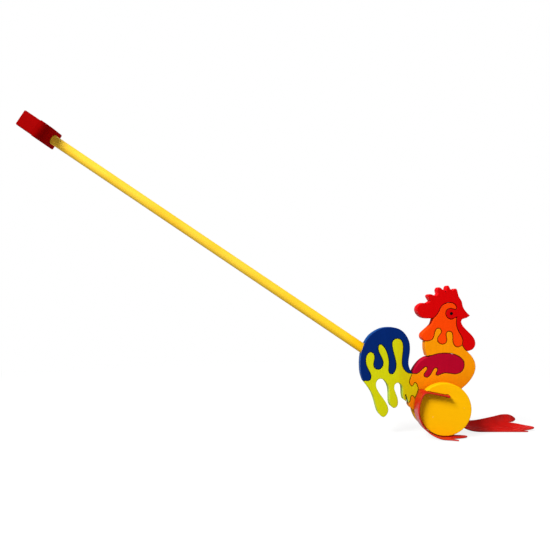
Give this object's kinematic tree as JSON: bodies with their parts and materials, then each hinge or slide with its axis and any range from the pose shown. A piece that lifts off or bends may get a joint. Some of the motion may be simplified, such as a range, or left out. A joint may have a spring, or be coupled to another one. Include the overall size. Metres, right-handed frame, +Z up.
{
  "type": "toddler push toy",
  "caption": "Painted wooden rooster push toy: a jigsaw-cut board figure on wheels whose leather feet slap the floor, steered by a slanted rod with a block handle.",
  "frame": {"origin": "on the floor under the board's middle plane, halfway along the toy", "axes": "+X is the way the rooster faces and is pushed, +Y is its left side along the axle, +Z is up"},
  "size_m": [0.8016, 0.1063, 0.4918],
  "materials": {
    "scarlet_paint": "satin paint",
    "flame_paint": "satin paint",
    "orange_paint": "satin paint",
    "crimson_paint": "satin paint",
    "navy_paint": "satin paint",
    "lime_paint": "satin paint",
    "wheel_paint": "satin paint",
    "rod_paint": "satin paint",
    "handle_paint": "satin paint",
    "eye_paint": "satin paint",
    "bare_wood": "plain",
    "red_leather": "smooth dyed"
  },
  "bodies": {
    "rooster": {"comb_face": "scarlet_paint", "hackle": "flame_paint", "body_panel": "orange_paint", "wing_panel": "crimson_paint", "tail_upper": "navy_paint", "tail_lower": "lime_paint", "eye_peg": "eye_paint", "push_rod": "rod_paint", "handle_grip": "handle_paint"},
    "wheel_set": {"axle": "bare_wood", "spacer_right": "bare_wood", "spacer_left": "bare_wood", "wheel_right": "wheel_paint", "wheel_left": "wheel_paint", "foot_right": "red_leather", "foot_left": "red_leather"}
  },
  "joints": [
    {"name": "wheel_spin", "type": "hinge", "parent": "rooster", "child": "wheel_set", "pos_m": [0.24293, 0, 0.0428], "axis": [0, 1, 0], "continuous": true}
  ]
}
